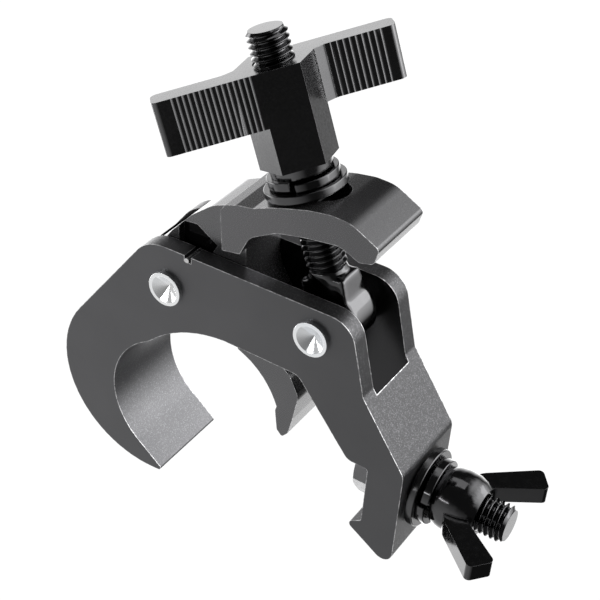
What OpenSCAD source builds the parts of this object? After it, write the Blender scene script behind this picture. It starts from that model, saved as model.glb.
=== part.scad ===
// Pipe clamp with a hinged lever jaw, drawn in use: the gripped pipe runs along Y,
// its centre is the origin, +X is the T-handle side and the mounting bolt hangs along -Z.
// All lengths are millimetres.

/* [Body] */
// width of the body along the pipe
body_w = 30; // [24:0.5:40]
// radius of the pipe seat
seat_r = 25.5; // [20:0.1:32]
// width of the slot between the two cheeks
slot_w = 18.6; // [14:0.1:22]
// thickness of the arm's outer wall under the bolt head
arm_wall = 11.6; // [8:0.1:16]

/* [Lever] */
// width of the lever where it shows above and below the cheeks
lever_w = 24.3; // [20:0.1:28]
// width of the lever's neck between the cheeks
neck_w = 18; // [14:0.1:20]
// width of the lever's slot for the eyebolt
lever_slot_w = 13; // [12:0.1:15]

/* [Pins] */
// radius of both pins inside the body
pin_r = 5; // [4:0.1:6]
// radius of the pins' flared heads
pin_head_r = 5.6; // [5:0.1:7]
// how far a pin head stands out of the cheek
pin_head_h = 1.4; // [0.5:0.1:3]

/* [Eyebolt and T-handle] */
// radius of the threads of both bolts
thread_r = 5.9; // [4:0.05:8]
// distance from the eyebolt's pin to its free end
eyebolt_len = 86; // [70:0.5:100]
// angle of the T-handle's wings about the eyebolt
handle_turn = 41.4; // [0:0.1:180]
// half the span of the T-handle's wings
handle_span = 34.4; // [25:0.1:45]
// thickness of one wing
wing_t = 8; // [5:0.1:12]
// height of the wings along the eyebolt
wing_h = 15.3; // [10:0.1:20]

/* [Mounting hardware] */
// distance of the mounting bolt from the pipe's centre plane
bolt_x = 3; // [2:0.1:4]
// size across the flats of the mounting bolt's head
head_af = 18; // [17:0.1:19]
// where the mounting bolt's free end is
bolt_end_z = -107.8; // [-120:0.1:-100]

/* [Hidden] */
$fn = 96;
over = 1;
lever_pin_at = [46.06, 0, 5.61];
eyebolt_pin_at = [51.55, 0, -44.93];
// the eyebolt leans this far from +Z towards +X
bolt_tilt = 68.67;
press_gap = 0.02;
run_gap = 0.05;
// gap left where a turning part rests on a washer
rest_gap = 0.03;
arm_z = -78.8;
groove_z = arm_z + arm_wall;
// stations along the eyebolt, measured from its pin
washer_s = 39.45;
washer_t = 2.5;
spring_washer_t = 3.3;
spring_washer_s = washer_s + washer_t;
hub_s = spring_washer_s + spring_washer_t + rest_gap;
hub_collar_h = 2.7;
handle_top_s = 76.9;
hub_depth = 18.9;
hub_flat = 6.1;
hub_side = 11.3;
// stations along the mounting bolt
mount_gap = 0.6;
mount_washer_t = 2.5;
mount_spring_t = 3.6;
mount_washer_z = arm_z - mount_gap;
mount_spring_z = mount_washer_z - mount_washer_t;
nut_z = mount_spring_z - mount_spring_t - rest_gap;
nut_h = 13.5;
nut_wing_t = 5.6;
// arc that clears the pipe below the seat, and the blend between the two
clear_arc_at = [-4.9, -18.55];
clear_arc_r = 41.06;
blend_r = 12;
boss_r = 12.8;
boss_pocket_r = 14.8;
spring_r = 7.4;
wire_r = 0.8;
spring_y = -7.9;
coil_step = 1.4;
leg_at = [59.3, -1.6];

function unit(v) = v / norm(v);
function flat(p) = [p[0], p[1]];

// Points of the arc that rounds corner b, whose third number is the radius.
function corner(a, b, c) =
    let (
        u = unit(flat(a) - flat(b)),
        w = unit(flat(c) - flat(b)),
        half = acos(u * w) / 2,
        start = flat(b) + u * b[2] / tan(half),
        end = flat(b) + w * b[2] / tan(half),
        centre = flat(b) + unit(u + w) * b[2] / sin(half),
        from = atan2(start[1] - centre[1], start[0] - centre[0]),
        to = atan2(end[1] - centre[1], end[0] - centre[0]),
        turn = (to - from + 540) % 360 - 180,
        steps = max(1, ceil(abs(turn) / 9))
    )
    b[2] == 0 ? [flat(b)] : [for (i = [0:steps]) centre + b[2] * [cos(from + turn * i / steps), sin(from + turn * i / steps)]];

// Closed outline through corners [x, z, radius].
function rounded(p) = [for (i = [0:len(p) - 1]) each corner(p[(i + len(p) - 1) % len(p)], p[i], p[(i + 1) % len(p)])];

// Points of an arc from one angle to another.
function arc(centre, r, from, to, steps) = [for (i = [0:steps]) [centre[0] + r * cos(from + (to - from) * i / steps), centre[1] + r * sin(from + (to - from) * i / steps), 0]];

// A flat outline drawn in X and Z, given a width along the pipe.
module slab(w) {
    rotate([90, 0, 0])
        linear_extrude(height = w, center = true)
            children();
}

// A cylinder along the pipe's direction.
module cross_rod(at, r, w) {
    translate([at[0], 0, at[2]])
        rotate([90, 0, 0])
            cylinder(r = r, h = w, center = true);
}

// Places what follows on the eyebolt's axis, with its pin as the origin.
module on_eyebolt() {
    translate(eyebolt_pin_at)
        rotate([0, bolt_tilt, 0])
            children();
}

// Flat ring standing on z = 0.
module ring(outer, inner, h) {
    difference() {
        cylinder(r = outer, h = h);
        translate([0, 0, -over])
            cylinder(r = inner, h = h + 2 * over);
    }
}

module body_outline() {
    polygon([for (p = rounded(concat(
        [[-28.2, 5.2, 0.9]],
        arc([4.1, 12.2], 32.8, 185, 55, 26),
        [[60, 13.1, 12],
         [61.8, -56.9, 8.5],
         [38.6, -63, 3],
         [16.9, -78.8, 4.5],
         [-20.8, -78.8, 3.4],
         [-10.1, -62.2, 1.4],
         [-7, groove_z, 1.2],
         [13.7, groove_z, 1],
         [13.7, -60.3, 3.5],
         [36.1, -41.4, 4]],
        arc(clear_arc_at, clear_arc_r, 4, 50, 10),
        [[-9, 7.5, 0],
         [-19.5, 16.36, 0]]))) p]);
}

// Rounds the ridge where the cheeks' lower edge runs into the pipe seat.
module seat_blend() {
    reach = seat_r + blend_r;
    gap = norm(clear_arc_at);
    along = (reach * reach - pow(clear_arc_r + blend_r, 2) + gap * gap) / (2 * gap);
    side = sqrt(reach * reach - along * along);
    centre = (clear_arc_at * along + [-clear_arc_at[1], clear_arc_at[0]] * side) / gap;
    difference() {
        polygon([
            centre * seat_r / reach,
            clear_arc_at + (centre - clear_arc_at) * clear_arc_r / (clear_arc_r + blend_r),
            [seat_r * 0.8, seat_r * 0.4]]);
        translate(centre)
            circle(r = blend_r);
    }
}

// Room for the lever and the eyebolt between the cheeks.
module slot_outline() {
    polygon([[75, -80.3], [15, -55.3], [15, 0.5], [46, 0.5], [46, 20.4], [75, 20.4]]);
    translate([lever_pin_at[0], lever_pin_at[2]])
        circle(r = boss_pocket_r);
}

module hook_body() {
    color("dimgray")
        difference() {
            slab(body_w)
                body_outline();
            slab(slot_w)
                slot_outline();
            slab(body_w + 2 * over)
                seat_blend();
            cross_rod([0, 0, 0], seat_r, body_w + 2 * over);
            cross_rod(lever_pin_at, pin_r + press_gap, body_w + 2 * over);
            cross_rod(eyebolt_pin_at, pin_r + press_gap, body_w + 2 * over);
            translate([bolt_x, 0, arm_z - over])
                cylinder(r = thread_r + 0.5, h = arm_wall + 2 * over);
            translate([leg_at[0] - wire_r - 0.2, -body_w / 2 - over, leg_at[1] - 1.2])
                cube([5, body_w / 2 - 9 + over, 2.4]);
        }
}

// The curved top arm of the lever, above the cheeks.
module arch_outline() {
    polygon(rounded([
        [78.4, -10.2, 0.4],
        [80.9, -11.6, 0.5],
        [82.4, -15.4, 0.5],
        [83.6, -21, 2],
        [86.2, -26.7, 8],
        [88.2, -32.2, 12],
        [90.3, -38.8, 14],
        [91.6, -45.4, 10],
        [91.6, -51.6, 10],
        [86.9, -61.1, 1.6],
        [81.7, -59.9, 2],
        [80.4, -55.4, 2],
        [83.1, -49.2, 7],
        [81.2, -38.6, 16],
        [78.8, -29, 8],
        [73.4, -20.3, 6],
        [66.6, -17.4, 0.6],
        [65.4, -11.4, 0]]));
}

// The jaw below the cheeks.
module claw_outline() {
    polygon(rounded([
        [35.6, -18.4, 0.6],
        [32.9, -18.6, 0.5],
        [30.6, -23.6, 20],
        [26.6, -28.3, 20],
        [22, -31.6, 20],
        [18.1, -33.4, 0.3],
        [16.4, -33, 0.4],
        [9.4, -34.1, 0.6],
        [7.5, -36, 0.7],
        [9.8, -38, 1],
        [16, -39.2, 12],
        [25.3, -40.6, 6],
        [31.2, -37.4, 4],
        [35.6, -32.2, 1]]));
}

// The neck that joins arch, pivot boss and claw between the cheeks.
module neck_outline() {
    translate([lever_pin_at[0], lever_pin_at[2]])
        circle(r = boss_r);
    polygon(rounded([
        [57.8, 11.2, 0],
        [61.9, 8.7, 6],
        [70.5, 1.6, 12],
        [76.4, -5.2, 8],
        [79.2, -11, 0],
        [80.2, -20.6, 0],
        [68.6, -17.4, 2],
        [54, -18.2, 10],
        [43, -25.4, 8],
        [34.6, -35.6, 0.5],
        [27, -36.4, 0],
        [28, -30, 0],
        [33.1, -18, 6],
        [34.9, -9, 5],
        [34.4, -2.4, 0],
        [46, 5.6, 0]]));
}

// Stadium hole for the eyebolt, drawn in the eyebolt's own frame.
module eyebolt_slot() {
    on_eyebolt() {
        translate([-1.5, 0, 24])
            cylinder(r = lever_slot_w / 2, h = 24);
        translate([7, 0, 24])
            cylinder(r = lever_slot_w / 2, h = 24);
        translate([-1.5, -lever_slot_w / 2, 24])
            cube([8.5, lever_slot_w, 24]);
    }
}

// Pocket in the lever's front side for the spring and its leg.
module spring_pocket() {
    translate([lever_pin_at[0], -3.4, lever_pin_at[2]])
        rotate([90, 0, 0])
            cylinder(r = spring_r + wire_r + 0.6, h = neck_w / 2);
    translate([lever_pin_at[0], -6.4, lever_pin_at[2]])
        rotate([90, 0, 0])
            linear_extrude(height = neck_w / 2)
                polygon([[0, 0], [6, -7.6], [17.6, -13.4], [22, -6], [21, 0.5]]);
}

module clamp_lever() {
    color("gray")
        difference() {
            union() {
                slab(lever_w)
                    arch_outline();
                slab(lever_w)
                    claw_outline();
                slab(neck_w)
                    neck_outline();
            }
            cross_rod(lever_pin_at, pin_r + run_gap, lever_w + 2 * over);
            eyebolt_slot();
            spring_pocket();
        }
}

// A headed pin through both cheeks with a cone sunk in each end.
module pin(at) {
    color("silver")
        difference() {
            union() {
                cross_rod(at, pin_r, body_w);
                for (side = [-1, 1])
                    translate([at[0], side * (body_w + pin_head_h) / 2, at[2]])
                        rotate([90, 0, 0])
                            cylinder(r = pin_head_r, h = pin_head_h, center = true);
            }
            for (side = [-1, 1])
                translate([at[0], side * (body_w / 2 + pin_head_h), at[2]])
                    rotate([side * 90, 0, 0])
                        cylinder(r1 = 4.5, r2 = 0.1, h = 2.8);
        }
}

module lever_pin() {
    pin(lever_pin_at);
}

module eyebolt_pin() {
    pin(eyebolt_pin_at);
}

// Three close coils round the lever's pin and a leg that rests in the cheek's notch.
module torsion_spring() {
    color("silver") {
        for (i = [0:2])
            translate([lever_pin_at[0], spring_y + i * coil_step, lever_pin_at[2]])
                rotate([90, 0, 0])
                    rotate_extrude()
                        translate([spring_r, 0])
                            circle(r = wire_r, $fn = 24);
        leg_run = [leg_at[0] - lever_pin_at[0], leg_at[1] - lever_pin_at[2]];
        leg_angle = atan2(leg_run[1], leg_run[0]);
        translate([lever_pin_at[0], spring_y, lever_pin_at[2]])
            rotate([0, 90 - leg_angle, 0])
                translate([0, 0, spring_r])
                    cylinder(r = wire_r, h = norm(leg_run) - spring_r, $fn = 24);
        translate([leg_at[0], spring_y, leg_at[1]])
            sphere(r = wire_r, $fn = 24);
        translate([leg_at[0], spring_y, leg_at[1]])
            rotate([90, 0, 0])
                cylinder(r = wire_r, h = 7, $fn = 24);
    }
}

// Forged eye, shoulder and threaded shank.
module eyebolt() {
    eye_r = 9.4;
    eye_t = 12;
    color("dimgray")
        difference() {
            on_eyebolt() {
                rotate([90, 0, 0])
                    cylinder(r = eye_r, h = eye_t, center = true);
                cylinder(r = thread_r - 0.1, h = 16);
                translate([0, 0, 15])
                    cylinder(r = thread_r, h = eyebolt_len - 16);
                translate([0, 0, eyebolt_len - over])
                    cylinder(r1 = thread_r, r2 = 5, h = over);
                translate([-7.5, -eye_t / 2 + 0.4, 0])
                    rotate([90, 0, 90])
                        linear_extrude(height = 15)
                            polygon([[0, 0], [eye_t - 0.8, 0], [eye_t - 0.8, 9], [eye_t - 1.6, 13], [0.8, 13], [0, 9]]);
            }
            cross_rod(eyebolt_pin_at, pin_r + run_gap, 2 * eye_t);
        }
}

// Six-sided hub of the T-handle, drawn across the eyebolt.
module hub_outline(grow) {
    polygon([
        [-hub_flat - grow / 2, -hub_depth / 2 - grow],
        [hub_flat + grow / 2, -hub_depth / 2 - grow],
        [hub_side + grow, 0],
        [hub_flat + grow / 2, hub_depth / 2 + grow],
        [-hub_flat - grow / 2, hub_depth / 2 + grow],
        [-hub_side - grow, 0]]);
}

// One wing, with its outer face level with a flat of the hub.
module handle_wing() {
    difference() {
        translate([0, 0, handle_top_s - wing_h])
            linear_extrude(height = wing_h)
                polygon(rounded([
                    [-handle_span, -hub_depth / 2, 1.6],
                    [0, -hub_depth / 2, 0],
                    [0, 0, 0],
                    [-hub_side + 1, 0.6, 0],
                    [-hub_side - 3, -hub_depth / 2 + wing_t, 4],
                    [-handle_span, -hub_depth / 2 + wing_t, 2.2]]));
    }
}

module t_handle() {
    color("black")
        difference() {
            on_eyebolt()
                rotate([0, 0, handle_turn]) {
                    translate([0, 0, hub_s + hub_collar_h])
                        linear_extrude(height = handle_top_s - hub_s - hub_collar_h)
                            hub_outline(0);
                    translate([0, 0, hub_s])
                        cylinder(r1 = 8.9, r2 = 9.4, h = hub_collar_h + 0.5);
                    handle_wing();
                    rotate([0, 0, 180])
                        handle_wing();
                }
            on_eyebolt()
                translate([0, 0, hub_s - over])
                    cylinder(r = thread_r + run_gap, h = handle_top_s - hub_s + 2 * over);
        }
}

module handle_spring_washer() {
    color("dimgray")
        on_eyebolt()
            difference() {
                translate([0, 0, spring_washer_s])
                    ring(10.4, 6.3, spring_washer_t);
                rotate([0, 0, -70])
                    translate([5, -0.5, spring_washer_s - over])
                        cube([8, 1, spring_washer_t + 2 * over]);
            }
}

module handle_washer() {
    color("dimgray")
        on_eyebolt()
            translate([0, 0, washer_s])
                ring(12, 6.3, washer_t);
}

module mounting_bolt() {
    head_h = 7.5;
    color("silver")
        translate([bolt_x, 0, 0]) {
            translate([0, 0, groove_z])
                rotate([0, 0, 90])
                    cylinder(r = head_af / sqrt(3), h = head_h, $fn = 6);
            translate([0, 0, bolt_end_z + over])
                cylinder(r = thread_r, h = groove_z - bolt_end_z);
            translate([0, 0, bolt_end_z])
                cylinder(r1 = 5, r2 = thread_r, h = over);
        }
}

module mounting_washer() {
    color("dimgray")
        translate([bolt_x, 0, mount_washer_z - mount_washer_t])
            ring(12.4, 6.3, mount_washer_t);
}

module mounting_spring_washer() {
    color("dimgray")
        difference() {
            translate([bolt_x, 0, mount_spring_z - mount_spring_t])
                ring(10.4, 6.3, mount_spring_t);
            translate([bolt_x, 0, nut_z - over])
                rotate([0, 0, -75])
                    translate([5, -0.5, 0])
                        cube([8, 1, mount_spring_t + 2 * over]);
        }
}

// One wing of the nut, a bar that flares away from the arm.
module nut_wing() {
    rotate([90, 0, 0])
        linear_extrude(height = nut_wing_t, center = true)
            polygon(rounded([
                [7.2, -3.6, 0],
                [12.4, -6.7, 8],
                [24.6, -20.8, 1.6],
                [18, -26.1, 1.6],
                [8.8, -12.7, 6],
                [7.2, -11.4, 0]]));
}

module wing_nut() {
    bore = thread_r + run_gap;
    color("black")
        translate([bolt_x, 0, nut_z]) {
            rotate_extrude()
                polygon([
                    [bore, 0],
                    [8.8, 0],
                    [9.7, -2.6],
                    [10, -5.6],
                    [9.7, -8.6],
                    [8.8, -11.4],
                    [7.4, -nut_h],
                    [bore, -nut_h]]);
            for (side = [90, 270])
                rotate([0, 0, side])
                    nut_wing();
        }
}

hook_body();
clamp_lever();
lever_pin();
eyebolt_pin();
torsion_spring();
eyebolt();
t_handle();
handle_spring_washer();
handle_washer();
mounting_bolt();
mounting_washer();
mounting_spring_washer();
wing_nut();
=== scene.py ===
import math

import bmesh
import bpy
from mathutils import Matrix, Vector


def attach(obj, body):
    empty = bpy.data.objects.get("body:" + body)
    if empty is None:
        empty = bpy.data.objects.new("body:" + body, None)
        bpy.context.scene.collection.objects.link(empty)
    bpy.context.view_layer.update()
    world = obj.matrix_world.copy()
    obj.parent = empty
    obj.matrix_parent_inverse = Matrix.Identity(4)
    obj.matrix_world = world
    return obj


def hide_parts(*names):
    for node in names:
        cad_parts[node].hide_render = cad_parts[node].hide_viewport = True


MM = 0.001
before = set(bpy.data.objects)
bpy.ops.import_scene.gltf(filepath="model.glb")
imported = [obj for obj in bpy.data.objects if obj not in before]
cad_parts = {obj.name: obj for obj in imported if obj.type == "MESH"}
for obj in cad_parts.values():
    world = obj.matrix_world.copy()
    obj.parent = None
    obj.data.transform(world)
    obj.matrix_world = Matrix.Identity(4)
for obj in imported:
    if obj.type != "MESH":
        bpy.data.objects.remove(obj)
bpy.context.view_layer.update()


# Hook body: one slice of extruded aluminium bar, its slot and bores machined afterwards,
# then bead blasted, anodised dark grey and lightly tumbled so that every edge shines.
BODY_GREY = (0.104, 0.104, 0.108, 1)
BODY_BEVEL = 0.28 * MM


def deselect_all():
    if bpy.context.object and bpy.context.object.mode != "OBJECT":
        bpy.ops.object.mode_set(mode="OBJECT")
    bpy.ops.object.select_all(action="DESELECT")


def work_on(piece):
    deselect_all()
    piece.select_set(True)
    bpy.context.view_layer.objects.active = piece


def apply_modifiers(piece):
    work_on(piece)
    for name in [m.name for m in piece.modifiers]:
        bpy.ops.object.modifier_apply(modifier=name)


def blank_from(node, name):
    """A separate, merged copy of a CAD node, ready to be given its finish."""
    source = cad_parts[node]
    piece = bpy.data.objects.new(name, source.data.copy())
    bpy.context.scene.collection.objects.link(piece)
    piece.data.materials.clear()
    work_on(piece)
    bpy.ops.object.mode_set(mode="EDIT")
    bpy.ops.mesh.select_all(action="SELECT")
    bpy.ops.mesh.remove_doubles(threshold=0.002 * MM)
    bpy.ops.mesh.dissolve_limited(angle_limit=math.radians(0.4))
    bpy.ops.mesh.normals_make_consistent(inside=False)
    bpy.ops.object.mode_set(mode="OBJECT")
    return piece


def break_edges(piece, width, least_angle=24, segments=3):
    """Rounds every edge sharper than least_angle degrees."""
    bevel = piece.modifiers.new("broken edges", "BEVEL")
    bevel.width = width
    bevel.segments = segments
    bevel.limit_method = "ANGLE"
    bevel.angle_limit = math.radians(least_angle)
    bevel.use_clamp_overlap = True
    bevel.harden_normals = False
    apply_modifiers(piece)


def shade(piece, angle=32):
    """Smooths round faces, and keeps flat faces flat up to their rounded edges."""
    work_on(piece)
    bpy.ops.object.shade_smooth_by_angle(angle=math.radians(angle))
    level = piece.modifiers.new("flat faces stay flat", "WEIGHTED_NORMAL")
    level.keep_sharp = True
    level.weight = 80
    apply_modifiers(piece)


def place(piece, body, slot, *nodes):
    """Rides a piece on its body and hides the CAD nodes it stands for."""
    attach(piece, body)
    if nodes:
        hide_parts(*nodes)


def new_group(name, inputs, outputs):
    group = bpy.data.node_groups.new(name, "ShaderNodeTree")
    for label, kind, value in inputs:
        socket = group.interface.new_socket(name=label, in_out="INPUT", socket_type=kind)
        socket.default_value = value
    for label, kind in outputs:
        group.interface.new_socket(name=label, in_out="OUTPUT", socket_type=kind)
    start = group.nodes.new("NodeGroupInput")
    end = group.nodes.new("NodeGroupOutput")
    return group, start, end


def value_math(tree, operation, first, second):
    node = tree.nodes.new("ShaderNodeMath")
    node.operation = operation
    for socket, value in zip(node.inputs, (first, second)):
        if hasattr(value, "links"):
            tree.links.new(value, socket)
        else:
            socket.default_value = value
    return node.outputs[0]


def soft_noise(tree, coordinates, scale, detail, roughness):
    noise = tree.nodes.new("ShaderNodeTexNoise")
    tree.links.new(coordinates, noise.inputs["Vector"])
    if hasattr(scale, "links"):
        tree.links.new(scale, noise.inputs["Scale"])
    else:
        noise.inputs["Scale"].default_value = scale
    noise.inputs["Detail"].default_value = detail
    noise.inputs["Roughness"].default_value = roughness
    return noise.outputs["Fac"]


def spread(tree, value, low, high, out_low, out_high):
    node = tree.nodes.new("ShaderNodeMapRange")
    tree.links.new(value, node.inputs["Value"])
    for label, number in (("From Min", low), ("From Max", high), ("To Min", out_low), ("To Max", out_high)):
        if hasattr(number, "links"):
            tree.links.new(number, node.inputs[label])
        else:
            node.inputs[label].default_value = number
    return node.outputs["Result"]


def make_edge_wear():
    """Mask that is 1 on sharp outer edges, broken up a little as handling breaks it."""
    group, start, end = new_group(
        "edge wear",
        [("Radius", "NodeSocketFloat", 0.3 * MM), ("Amount", "NodeSocketFloat", 0.8)],
        [("Mask", "NodeSocketFloat")])
    coords = group.nodes.new("ShaderNodeTexCoord")
    rounded = group.nodes.new("ShaderNodeBevel")
    rounded.samples = 8
    group.links.new(start.outputs["Radius"], rounded.inputs["Radius"])
    geometry = group.nodes.new("ShaderNodeNewGeometry")
    dot = group.nodes.new("ShaderNodeVectorMath")
    dot.operation = "DOT_PRODUCT"
    group.links.new(rounded.outputs["Normal"], dot.inputs[0])
    group.links.new(geometry.outputs["Normal"], dot.inputs[1])
    edge = spread(group, dot.outputs["Value"], 0.985, 0.86, 0, 1)
    patches_per_metre = 700
    patches = soft_noise(group, coords.outputs["Object"], patches_per_metre, 3, 0.6)
    broken = spread(group, patches, 0.4, 0.56, 0.25, 1)
    mask = value_math(group, "MULTIPLY", edge, broken)
    mask = value_math(group, "MULTIPLY", mask, start.outputs["Amount"])
    group.links.new(mask, end.inputs["Mask"])
    return group


def make_grain():
    """Blasted or cast grain: fine noise about 0.5, slow cloudy variation, and single specks that the
    aluminium paints as bright glints.
    """
    group, start, end = new_group(
        "blasted grain",
        [("Scale", "NodeSocketFloat", 3200.0)],
        [("Fine", "NodeSocketFloat"), ("Cloud", "NodeSocketFloat"), ("Glint speck", "NodeSocketFloat")])
    coords = group.nodes.new("ShaderNodeTexCoord")
    fine = soft_noise(group, coords.outputs["Object"], start.outputs["Scale"], 2, 0.6)
    clouds_per_metre = 60
    cloud = soft_noise(group, coords.outputs["Object"], clouds_per_metre, 3, 0.5)
    cells = group.nodes.new("ShaderNodeTexVoronoi")
    group.links.new(coords.outputs["Object"], cells.inputs["Vector"])
    group.links.new(start.outputs["Scale"], cells.inputs["Scale"])
    glint_speck = spread(group, cells.outputs["Color"], 0.62, 0.95, 0, 1)
    group.links.new(fine, end.inputs["Fine"])
    group.links.new(cloud, end.inputs["Cloud"])
    group.links.new(glint_speck, end.inputs["Glint speck"])
    return group


EDGE_WEAR = make_edge_wear()
GRAIN = make_grain()


def use_group(tree, group, **values):
    node = tree.nodes.new("ShaderNodeGroup")
    node.node_tree = group
    for label, value in values.items():
        node.inputs[label].default_value = value
    return node


def mix_colour(tree, factor, first, second):
    mix = tree.nodes.new("ShaderNodeMix")
    mix.data_type = "RGBA"
    sockets = [s for s in mix.inputs if s.type == "RGBA"]
    tree.links.new(factor, mix.inputs["Factor"])
    for socket, value in zip(sockets, (first, second)):
        if hasattr(value, "links"):
            tree.links.new(value, socket)
        else:
            socket.default_value = value
    return [s for s in mix.outputs if s.type == "RGBA"][0]


def new_finish(name):
    material = bpy.data.materials.new(name)
    material.use_nodes = True
    tree = material.node_tree
    return material, tree, tree.nodes["Principled BSDF"]


def shaded(colour, times):
    """The same colour, so many times as bright."""
    return tuple(min(1, c * times) for c in colour[:3]) + (1,)


def roughen(tree, shader, height, strength, distance):
    """Feeds a height into the shader's normal."""
    bump = tree.nodes.new("ShaderNodeBump")
    bump.inputs["Strength"].default_value = strength
    bump.inputs["Distance"].default_value = distance
    tree.links.new(height, bump.inputs["Height"])
    tree.links.new(bump.outputs["Normal"], shader.inputs["Normal"])


def split_axes(tree, vector):
    node = tree.nodes.new("ShaderNodeSeparateXYZ")
    tree.links.new(vector, node.inputs[0])
    return node.outputs


WORN_BARE = (0.8, 0.8, 0.81, 1)
BLAST_SCALE = 4200.0
# Painted shade: between these heights the aluminium's colour darkens towards the foot, following how the
# light falls off there.
PAINTED_SHADE_STARTS = -20 * MM
PAINTED_SHADE_FULL = -55 * MM


def blasted_aluminium(name, colour, rough, edge_radius, slot_half, texture_and_glints):
    """Anodised aluminium: blasted skin with a grain and painted glints, smooth sawn sides, glossy walls
    where a slot was milled between them that are darkened as painted shade, bright worn edges, and painted
    shade that darkens the foot."""
    material, tree, shader = new_finish(name)
    grain = use_group(tree, GRAIN, Scale=BLAST_SCALE)
    wear = use_group(tree, EDGE_WEAR, Radius=edge_radius, Amount=1.0)
    coords = tree.nodes.new("ShaderNodeTexCoord")
    spot = split_axes(tree, coords.outputs["Object"])
    sideways = value_math(tree, "ABSOLUTE", split_axes(tree, coords.outputs["Normal"])["Y"], 0)
    skin = spread(tree, sideways, 0.3, 0.8, 1, 0)
    depth = value_math(tree, "ABSOLUTE", spot["Y"], 0)
    # Painted shade: faces turned sideways within slot_half of the middle, the walls between the cheeks, are
    # darkened to 0.3 times the colour; they are also made glossier.
    slot_wall_shade_and_gloss = value_math(tree, "LESS_THAN", depth, slot_half)
    slot_wall_shade_and_gloss = value_math(tree, "MULTIPLY", slot_wall_shade_and_gloss, value_math(tree, "GREATER_THAN", sideways, 0.6))
    tone = spread(tree, grain.outputs["Cloud"], 0.35, 0.65, 0, 1)
    base = mix_colour(tree, tone, colour, shaded(colour, 1.06))
    # Painted shade on the walls between the cheeks.
    base = mix_colour(tree, slot_wall_shade_and_gloss, base, shaded(colour, 0.3))
    # Painted shade: the colour darkens to half towards the foot, fully on the blasted skin and less on the
    # sawn sides.
    painted_foot_shade = spread(tree, spot["Z"], PAINTED_SHADE_STARTS, PAINTED_SHADE_FULL, 0, 1)
    painted_foot_shade = value_math(tree, "MULTIPLY", painted_foot_shade, spread(tree, skin, 0, 1, 0.3, 1))
    base = mix_colour(tree, painted_foot_shade, base, shaded(colour, 0.5))
    # Painted glints: single specks on the blasted skin are painted at 3.2 times the colour.
    painted_glint = value_math(tree, "MULTIPLY", grain.outputs["Glint speck"], texture_and_glints * 0.4)
    painted_glint = value_math(tree, "MULTIPLY", painted_glint, skin)
    base = mix_colour(tree, painted_glint, base, shaded(colour, 3.2))
    base = mix_colour(tree, wear.outputs["Mask"], base, WORN_BARE)
    tree.links.new(base, shader.inputs["Base Color"])
    roughness = spread(tree, grain.outputs["Fine"], 0.25, 0.75, rough - 0.04, rough + 0.04)
    gloss = value_math(tree, "MULTIPLY", slot_wall_shade_and_gloss, 0.18)
    roughness = value_math(tree, "SUBTRACT", roughness, gloss)
    tree.links.new(roughness, shader.inputs["Roughness"])
    metal = spread(tree, wear.outputs["Mask"], 0, 1, 0.85, 0.9)
    tree.links.new(metal, shader.inputs["Metallic"])
    texture_depth = spread(tree, skin, 0, 1, 0.12, 1)
    height = value_math(tree, "MULTIPLY", grain.outputs["Fine"], texture_depth)
    roughen(tree, shader, height, texture_and_glints, 0.03 * MM)
    return material


body_finish = blasted_aluminium(
    "anodised body", BODY_GREY, rough=0.38, edge_radius=0.5 * MM, slot_half=10 * MM, texture_and_glints=0.8)
body = blank_from("hook_body", "hook_body_finished")
break_edges(body, BODY_BEVEL)
shade(body)
body.data.materials.append(body_finish)
place(body, "body", "anodised_body", "hook_body")


# Lever: a second extrusion, milled narrower on both sides where it passes between the cheeks,
# anodised a little lighter and glossier than the body.
LEVER_GREY = (0.142, 0.142, 0.146, 1)
LEVER_BEVEL = 0.22 * MM
lever_finish = blasted_aluminium(
    "anodised lever", LEVER_GREY, rough=0.26, edge_radius=0.35 * MM, slot_half=7 * MM, texture_and_glints=0.12)
lever = blank_from("clamp_lever", "clamp_lever_finished")
break_edges(lever, LEVER_BEVEL)
shade(lever)
lever.data.materials.append(lever_finish)
place(lever, "lever", "anodised_lever", "clamp_lever")


# Pins: turned steel, bright zinc plated, their ends pressed out over the cheeks by a cone punch.
def plated_steel(name, colour, metallic, rough, grain_scale, grain_strength, wear_colour, wear_amount):
    """Plated or blackened steel with fine unevenness and worn edges."""
    material, tree, shader = new_finish(name)
    grain = use_group(tree, GRAIN, Scale=grain_scale)
    wear = use_group(tree, EDGE_WEAR, Radius=0.2 * MM, Amount=wear_amount)
    tone = spread(tree, grain.outputs["Cloud"], 0.3, 0.7, 0, 1)
    base = mix_colour(tree, tone, colour, shaded(colour, 1.25))
    base = mix_colour(tree, wear.outputs["Mask"], base, wear_colour)
    tree.links.new(base, shader.inputs["Base Color"])
    roughness = spread(tree, grain.outputs["Fine"], 0.25, 0.75, max(0.04, rough - 0.05), rough + 0.06)
    tree.links.new(roughness, shader.inputs["Roughness"])
    shader.inputs["Metallic"].default_value = metallic
    roughen(tree, shader, grain.outputs["Fine"], grain_strength, 0.02 * MM)
    return material


zinc = plated_steel(
    "bright zinc", (0.92, 0.95, 0.98, 1), metallic=0.95, rough=0.12, grain_scale=1500.0,
    grain_strength=0.04, wear_colour=(0.9, 0.9, 0.9, 1), wear_amount=0.4)
PIN_BEVEL = 0.25 * MM
for node in ("lever_pin", "eyebolt_pin"):
    pin = blank_from(node, node + "_finished")
    break_edges(pin, PIN_BEVEL)
    shade(pin)
    pin.data.materials.append(zinc)
    place(pin, "body", "zinc", node)


# Torsion spring: drawn spring wire wound three times round the lever's pin, with one leg
# bent outwards into the notch of the front cheek.
LEVER_PIN = Vector((46.06, 0, 5.61)) * MM
LEG_END = Vector((59.3, -15.6, -1.6)) * MM
COIL_R = 7.4 * MM
WIRE_R = 0.78 * MM
COIL_PITCH = 1.62 * MM
COIL_TURNS = 2.6
COIL_Y = -7.9 * MM
STEPS_PER_TURN = 40
LEG_BEND = 1.4 * MM


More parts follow.
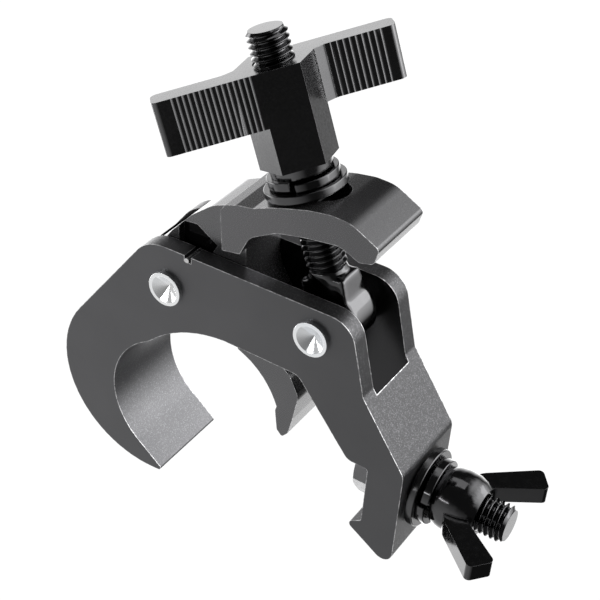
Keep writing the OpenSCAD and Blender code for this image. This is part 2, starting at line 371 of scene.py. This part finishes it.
def wire_from(points, radius, name):
    """A round wire along a list of points, as a mesh with closed ends."""
    curve = bpy.data.curves.new(name, "CURVE")
    curve.dimensions = "3D"
    curve.bevel_depth = radius
    curve.bevel_resolution = 4
    curve.use_fill_caps = True
    spline = curve.splines.new("POLY")
    spline.points.add(len(points) - 1)
    for spot, point in zip(spline.points, points):
        spot.co = (*point, 1)
    wire = bpy.data.objects.new(name, curve)
    bpy.context.scene.collection.objects.link(wire)
    work_on(wire)
    bpy.ops.object.convert(target="MESH")
    return bpy.context.object


leg_angle = math.atan2(LEG_END.z - LEVER_PIN.z, LEG_END.x - LEVER_PIN.x)
coil = []
for step in range(int(COIL_TURNS * STEPS_PER_TURN) + 1):
    turns = step / STEPS_PER_TURN
    angle = leg_angle + math.tau * turns
    coil.append(LEVER_PIN + Vector((COIL_R * math.cos(angle), COIL_Y + COIL_PITCH * turns,
                                    COIL_R * math.sin(angle))))
coil.reverse()
elbow = Vector((LEG_END.x, COIL_Y, LEG_END.z))
run = (elbow - coil[-1]).normalized()
corner = [elbow - run * LEG_BEND * (1 - math.sin(turn)) + Vector((0, -LEG_BEND * (1 - math.cos(turn)), 0))
          for turn in (math.radians(15 * step) for step in range(7))]
spring = wire_from(coil + corner + [LEG_END], WIRE_R, "torsion_spring_wire")
shade(spring, 60)
spring.data.materials.append(plated_steel(
    "drawn wire", (0.6, 0.6, 0.6, 1), metallic=0.95, rough=0.25, grain_scale=1800.0,
    grain_strength=0.1, wear_colour=(0.8, 0.8, 0.8, 1), wear_amount=0.2))
place(spring, "body", "spring_steel", "torsion_spring")


# Eyebolt: a forged flat eye and shoulder with a rolled coarse thread, plated glossy black.
THREAD_R = 5.9 * MM
THREAD_END_R = 4.9 * MM
THREAD_SIDES = 40
PITCH = 1.75 * MM
EYEBOLT_LENGTH = 86 * MM
THREAD_STARTS = 15 * MM
EYE_ENDS = 15.4 * MM
EYEBOLT_PIN = Vector((51.55, 0, -44.93)) * MM
ON_EYEBOLT = Matrix.Translation(EYEBOLT_PIN) @ Matrix.Rotation(math.radians(68.67), 4, "Y")


def rolled_thread(name, length, end_r):
    """A threaded rod standing on the origin along +Z, both ends chamfered."""
    root_r = THREAD_R - 0.61 * PITCH
    flank_foot = root_r + 0.16 * PITCH
    flank_top = THREAD_R - 0.05 * PITCH
    profile = [(0, root_r), (0.1, root_r), (0.2, flank_foot), (0.44, flank_top), (0.5, THREAD_R),
               (0.56, THREAD_R), (0.62, flank_top), (0.86, flank_foot), (1, root_r)]
    bm = bmesh.new()
    chain = [bm.verts.new((r, 0, (share - 1) * PITCH)) for share, r in profile]
    for first, second in zip(chain, chain[1:]):
        bm.edges.new((first, second))
    mesh = bpy.data.meshes.new(name)
    bm.to_mesh(mesh)
    bm.free()
    rod = bpy.data.objects.new(name, mesh)
    bpy.context.scene.collection.objects.link(rod)
    screw = rod.modifiers.new("thread", "SCREW")
    screw.axis = "Z"
    screw.angle = math.tau
    screw.screw_offset = PITCH
    screw.iterations = math.ceil(length / PITCH) + 1
    screw.steps = screw.render_steps = THREAD_SIDES
    screw.use_merge_vertices = True
    screw.merge_threshold = 0.01 * MM
    apply_modifiers(rod)
    for vertex in rod.data.vertices:
        flat = Vector((vertex.co.x, vertex.co.y))
        z = min(max(vertex.co.z, 0), length)
        limit = end_r + min(z, length - z)
        if flat.length > limit:
            flat *= limit / flat.length
        vertex.co = (flat.x, flat.y, z)
    bm = bmesh.new()
    bm.from_mesh(rod.data)
    for z, turn in ((0, -1), (length, 1)):
        disc = bmesh.ops.create_circle(bm, cap_ends=True, radius=root_r + 0.02 * MM, segments=THREAD_SIDES,
                                       matrix=Matrix.Translation((0, 0, z - turn * 0.004 * MM)))
        if turn < 0:
            bmesh.ops.reverse_faces(bm, faces=list({face for v in disc["verts"] for face in v.link_faces}))
    bmesh.ops.dissolve_degenerate(bm, dist=0.0005 * MM, edges=bm.edges)
    flanks = [face for face in bm.faces if len(face.verts) < 6]
    outermost = max(flanks, key=lambda face: face.calc_center_median().xy.length)
    if outermost.normal.xy.dot(outermost.calc_center_median().xy) < 0:
        bmesh.ops.reverse_faces(bm, faces=flanks)
    bm.to_mesh(rod.data)
    bm.free()
    return rod


def join(pieces, name):
    deselect_all()
    for piece in pieces:
        piece.select_set(True)
    bpy.context.view_layer.objects.active = pieces[0]
    bpy.ops.object.join()
    pieces[0].name = name
    return pieces[0]


def cut_away(piece, point, normal):
    """Takes off what lies on the normal's side of a plane and closes the cut."""
    work_on(piece)
    bpy.ops.object.mode_set(mode="EDIT")
    bpy.ops.mesh.select_all(action="SELECT")
    bpy.ops.mesh.bisect(plane_co=point, plane_no=normal, use_fill=True, clear_outer=True)
    bpy.ops.object.mode_set(mode="OBJECT")


gloss_black = plated_steel(
    "glossy black plating", (0.075, 0.075, 0.077, 1), metallic=1.0, rough=0.12, grain_scale=500.0,
    grain_strength=0.05, wear_colour=(0.4, 0.4, 0.41, 1), wear_amount=0.4)
axis = (ON_EYEBOLT.to_3x3() @ Vector((0, 0, 1))).normalized()
eye = blank_from("eyebolt", "eye")
cut_away(eye, EYEBOLT_PIN + axis * EYE_ENDS, axis)
forged = eye.modifiers.new("forged", "REMESH")
forged.mode = "VOXEL"
forged.voxel_size = 0.4 * MM
flow = eye.modifiers.new("flow", "SMOOTH")
flow.factor = 0.6
flow.iterations = 45
apply_modifiers(eye)
shank = rolled_thread("shank", EYEBOLT_LENGTH - THREAD_STARTS, THREAD_END_R)
shank.data.transform(ON_EYEBOLT @ Matrix.Translation((0, 0, THREAD_STARTS)))
eyebolt = join([eye, shank], "eyebolt_finished")
shade(eyebolt, 45)
eyebolt.data.materials.append(gloss_black)
place(eyebolt, "eyebolt", "black_steel", "eyebolt")


# T-handle: a die-cast bar nut with two offset wings, finger grooves cast in both faces of
# each wing, coated satin black.
ON_HANDLE = ON_EYEBOLT @ Matrix.Rotation(math.radians(41.4), 4, "Z")
HUB_DEPTH = 18.9 * MM
WING_T = 8 * MM
HANDLE_TOP = 76.9 * MM
WING_H = 15.3 * MM
GROOVE_R = 0.29 * MM
OUTER_GROOVES, OUTER_FROM, OUTER_PITCH = 15, 28.9 * MM, 1.52 * MM
INNER_GROOVES, INNER_FROM, INNER_PITCH = 10, 30 * MM, 1.75 * MM


def groove_cutter(places):
    """One object of long flattened diamond bars, one for each (x, y) place on the handle."""
    bm = bmesh.new()
    flatten = Matrix.Diagonal((1, 0.5, 1, 1))
    for x, y in places:
        middle = Matrix.Translation((x, y, HANDLE_TOP - WING_H / 2))
        bmesh.ops.create_cone(bm, cap_ends=True, segments=4, radius1=GROOVE_R, radius2=GROOVE_R,
                              depth=WING_H + 4 * MM, matrix=middle @ flatten)
    mesh = bpy.data.meshes.new("groove cutter")
    bm.to_mesh(mesh)
    bm.free()
    mesh.transform(ON_HANDLE)
    cutter = bpy.data.objects.new("groove cutter", mesh)
    bpy.context.scene.collection.objects.link(cutter)
    return cutter


handle = blank_from("t_handle", "t_handle_finished")
break_edges(handle, 0.45 * MM)
grooves = []
for side in (-1, 1):
    grooves += [(side * (OUTER_FROM - OUTER_PITCH * count), side * HUB_DEPTH / 2)
                for count in range(OUTER_GROOVES)]
    grooves += [(side * (INNER_FROM - INNER_PITCH * count), side * (HUB_DEPTH / 2 - WING_T))
                for count in range(INNER_GROOVES)]
cutter = groove_cutter(grooves)
carve = handle.modifiers.new("grooves", "BOOLEAN")
carve.object = cutter
carve.operation = "DIFFERENCE"
carve.solver = "EXACT"
apply_modifiers(handle)
bpy.data.objects.remove(cutter)
shade(handle, 20)
satin_black = plated_steel(
    "satin black coating", (0.1, 0.1, 0.102, 1), metallic=1.0, rough=0.17, grain_scale=1400.0,
    grain_strength=0.03, wear_colour=(0.45, 0.45, 0.46, 1), wear_amount=0.6)
handle.data.materials.append(satin_black)
place(handle, "handle", "black_paint", "t_handle")


# Washers: blanked flat washers and split spring washers, plated glossy black. The handle has
# one pair against the lever, and the wing nut has another against the arm.
SPLIT_INNER = 6.3 * MM
SPLIT_OUTER = 10.4 * MM
SPLIT_THICK = 2.6 * MM


def spring_washer(name, lift, split_angle, matrix):
    """One square wire turned almost once, its ends lifted apart, standing on the origin."""
    deselect_all()
    bpy.ops.mesh.primitive_plane_add(size=1)
    washer = bpy.context.object
    washer.name = name
    section = Matrix.Diagonal((SPLIT_OUTER - SPLIT_INNER, SPLIT_THICK, 1, 1))
    middle = Matrix.Translation(((SPLIT_INNER + SPLIT_OUTER) / 2, 0, SPLIT_THICK / 2))
    washer.data.transform(middle @ Matrix.Rotation(math.radians(90), 4, "X") @ section)
    work_on(washer)
    bpy.ops.object.mode_set(mode="EDIT")
    bpy.ops.mesh.select_all(action="SELECT")
    bpy.ops.mesh.delete(type="ONLY_FACE")
    bpy.ops.object.mode_set(mode="OBJECT")
    screw = washer.modifiers.new("coil", "SCREW")
    screw.axis = "Z"
    screw.angle = math.radians(352)
    screw.screw_offset = lift
    screw.steps = screw.render_steps = 72
    apply_modifiers(washer)
    bpy.ops.object.mode_set(mode="EDIT")
    bpy.ops.mesh.select_all(action="SELECT")
    bpy.ops.mesh.remove_doubles(threshold=0.001 * MM)
    bpy.ops.mesh.fill_holes(sides=4)
    bpy.ops.mesh.normals_make_consistent(inside=False)
    bpy.ops.object.mode_set(mode="OBJECT")
    washer.data.transform(matrix @ Matrix.Rotation(math.radians(split_angle), 4, "Z"))
    break_edges(washer, 0.3 * MM)
    shade(washer, 35)
    washer.data.materials.append(gloss_black)
    return washer


washer_black = plated_steel(
    "black washer plating", (0.08, 0.08, 0.082, 1), metallic=1.0, rough=0.2, grain_scale=900.0,
    grain_strength=0.12, wear_colour=(0.5, 0.5, 0.51, 1), wear_amount=0.5)
for node, body_name in (("handle_washer", "handle_stack"), ("mounting_washer", "mounting_stack")):
    washer = blank_from(node, node + "_finished")
    break_edges(washer, 0.35 * MM)
    shade(washer)
    washer.data.materials.append(washer_black)
    place(washer, body_name, "black_steel", node)

WASHER_TOP = (39.45 + 2.5) * MM
split = spring_washer("handle_spring_washer_finished", 0.7 * MM, -70,
                      ON_EYEBOLT @ Matrix.Translation((0, 0, WASHER_TOP)))
place(split, "handle_stack", "black_steel", "handle_spring_washer")
BOLT_X = 3 * MM
BOLT = Matrix.Translation((BOLT_X, 0, 0))
NUT_FACE = -85.5 * MM
split = spring_washer("mounting_spring_washer_finished", 1.0 * MM, -75,
                      BOLT @ Matrix.Translation((0, 0, NUT_FACE)))
place(split, "mounting_stack", "black_steel", "mounting_spring_washer")


# Mounting bolt: a standard hexagon-head bolt slid into the arm's groove, its head plain
# plated steel with a turned chamfer, its thread blackened.
HEAD_TOP = -59.7 * MM
HEAD_BOTTOM = -66.9 * MM
BOLT_END = -107.8 * MM
BOLT_THREAD_TOP = -67.4 * MM
LATHE_R = 10.45 * MM
LATHE_DEPTH = 7.6 * MM
CHAMFER_WIDE = 1.6 * MM
CHAMFER_DEEP = 0.95 * MM
head = blank_from("mounting_bolt", "bolt_head")
cut_away(head, (0, 0, HEAD_BOTTOM), (0, 0, -1))
deselect_all()
bpy.ops.mesh.primitive_cylinder_add(vertices=128, radius=LATHE_R, depth=LATHE_DEPTH,
                                    location=(BOLT_X, 0, HEAD_TOP - LATHE_DEPTH / 2))
lathe = bpy.context.object
bpy.ops.object.transform_apply(location=True, rotation=True, scale=True)
deep = lathe.modifiers.new("turned chamfer", "BEVEL")
deep.width = CHAMFER_WIDE
deep.segments = 1
deep.limit_method = "ANGLE"
deep.angle_limit = math.radians(60)
apply_modifiers(lathe)
for vertex in lathe.data.vertices:
    below = HEAD_TOP - vertex.co.z
    if CHAMFER_WIDE / 2 < below < LATHE_DEPTH / 2:
        vertex.co.z = HEAD_TOP - CHAMFER_DEEP
trim = head.modifiers.new("chamfer", "BOOLEAN")
trim.object = lathe
trim.operation = "INTERSECT"
trim.solver = "EXACT"
apply_modifiers(head)
bpy.data.objects.remove(lathe)
break_edges(head, 0.12 * MM, least_angle=15)
shade(head, 20)
head_steel = plated_steel(
    "plated bolt head", (0.2, 0.2, 0.205, 1), metallic=0.85, rough=0.34, grain_scale=1200.0,
    grain_strength=0.35, wear_colour=(0.7, 0.7, 0.7, 1), wear_amount=0.5)
head.data.materials.append(head_steel)
place(head, "body", "bolt_steel", "mounting_bolt")
bolt_thread = rolled_thread("mounting_bolt_thread", BOLT_THREAD_TOP - BOLT_END, THREAD_END_R)
bolt_thread.data.transform(BOLT @ Matrix.Translation((0, 0, BOLT_END)))
shade(bolt_thread, 38)
bolt_thread.data.materials.append(gloss_black)
place(bolt_thread, "body", "bolt_steel", "mounting_bolt")


# Wing nut: a die-cast domed hub with two bars that flare past the bolt's end, plated glossy
# black. It runs on the mounting bolt's thread.
NUT_ROUNDING = 0.9 * MM
nut = blank_from("wing_nut", "wing_nut_finished")
break_edges(nut, NUT_ROUNDING, least_angle=28, segments=4)
shade(nut, 40)
nut.data.materials.append(gloss_black)
place(nut, "nut", "black_paint", "wing_nut")


# Stage: a pale floor well below that only the camera sees, so that light and reflections come
# from the surround alone. The camera sees it white; the clamp reflects its bright sides, and a
# few soft boxes.
CAMERA_AT = Vector((0.31473, -0.30844, -0.20743))
RIGHT = Vector((0.06894, 0.53853, -0.83978))
UP = Vector((0.79841, 0.47493, 0.37011))
BACK = Vector((0.59815, -0.69601, -0.39722))

FLOOR_Z = -0.62
bpy.ops.mesh.primitive_plane_add(size=6, location=(0, 0, FLOOR_Z))
floor = bpy.context.object
floor.name = "floor"
paint, tree, shader = new_finish("pale floor")
shader.inputs["Base Color"].default_value = (0.85, 0.85, 0.85, 1)
shader.inputs["Roughness"].default_value = 0.9
seen = tree.nodes.new("ShaderNodeLightPath")
clear = tree.nodes.new("ShaderNodeBsdfTransparent")
either = tree.nodes.new("ShaderNodeMixShader")
tree.links.new(seen.outputs["Is Camera Ray"], either.inputs["Fac"])
tree.links.new(clear.outputs["BSDF"], either.inputs[1])
tree.links.new(shader.outputs["BSDF"], either.inputs[2])
tree.links.new(either.outputs["Shader"], tree.nodes["Material Output"].inputs["Surface"])
floor.data.materials.append(paint)

bpy.context.scene.view_settings.view_transform = "Standard"
world = bpy.data.worlds.new("white surround")
bpy.context.scene.world = world
world.use_nodes = True
tree = world.node_tree
background = tree.nodes["Background"]
direction = tree.nodes.new("ShaderNodeTexCoord")
glow = 0.05
for towards, low, high, brightness in (
        (RIGHT * 0.9 + UP * 0.35 + BACK * 0.2, 0.6, 0.93, 3.2),
        (-BACK + UP * 0.05, 0.62, 0.9, 1.7),
        (-BACK - RIGHT * 0.35, 0.5, 0.9, 0.9),
        (-RIGHT - UP, 0.35, 0.95, 0.72)):
    facing = tree.nodes.new("ShaderNodeVectorMath")
    facing.operation = "DOT_PRODUCT"
    tree.links.new(direction.outputs["Generated"], facing.inputs[0])
    facing.inputs[1].default_value = towards.normalized()
    lobe = spread(tree, facing.outputs["Value"], low, high, 0, brightness)
    glow = value_math(tree, "ADD", lobe, glow)
seen = tree.nodes.new("ShaderNodeLightPath")
strength = spread(tree, seen.outputs["Is Camera Ray"], 0, 1, glow, 1.05)
tree.links.new(strength, background.inputs["Strength"])
background.inputs["Color"].default_value = (1, 1, 1, 1)


BOX_DISTANCE = 0.9


def soft_box(name, towards, size, power):
    light = bpy.data.lights.new(name, "AREA")
    light.shape = "RECTANGLE"
    light.size, light.size_y = size
    light.energy = power
    lamp = bpy.data.objects.new(name, light)
    bpy.context.scene.collection.objects.link(lamp)
    lamp.location = Vector((0.04, 0, -0.03)) + towards.normalized() * BOX_DISTANCE
    lamp.rotation_euler = towards.to_track_quat("Z", "Y").to_euler()


soft_box("top box", UP + BACK * 0.3, (0.5, 0.5), 1)
soft_box("left box", -RIGHT * 0.9 + UP * 0.2 - BACK * 0.4, (0.35, 0.9), 3.5)
soft_box("left strip", -RIGHT * 0.9 + BACK * 0.45 + UP * 0.1, (0.04, 0.9), 0.8)
soft_box("right box", RIGHT + UP * 0.35 + BACK * 0.1, (0.35, 0.9), 2)

lens = bpy.data.cameras.new("camera")
lens.lens = 91.17
lens.sensor_width = 36
camera = bpy.data.objects.new("camera", lens)
bpy.context.scene.collection.objects.link(camera)
camera.matrix_world = Matrix((
    (RIGHT.x, UP.x, BACK.x, CAMERA_AT.x),
    (RIGHT.y, UP.y, BACK.y, CAMERA_AT.y),
    (RIGHT.z, UP.z, BACK.z, CAMERA_AT.z),
    (0, 0, 0, 1)))
bpy.context.scene.camera = camera
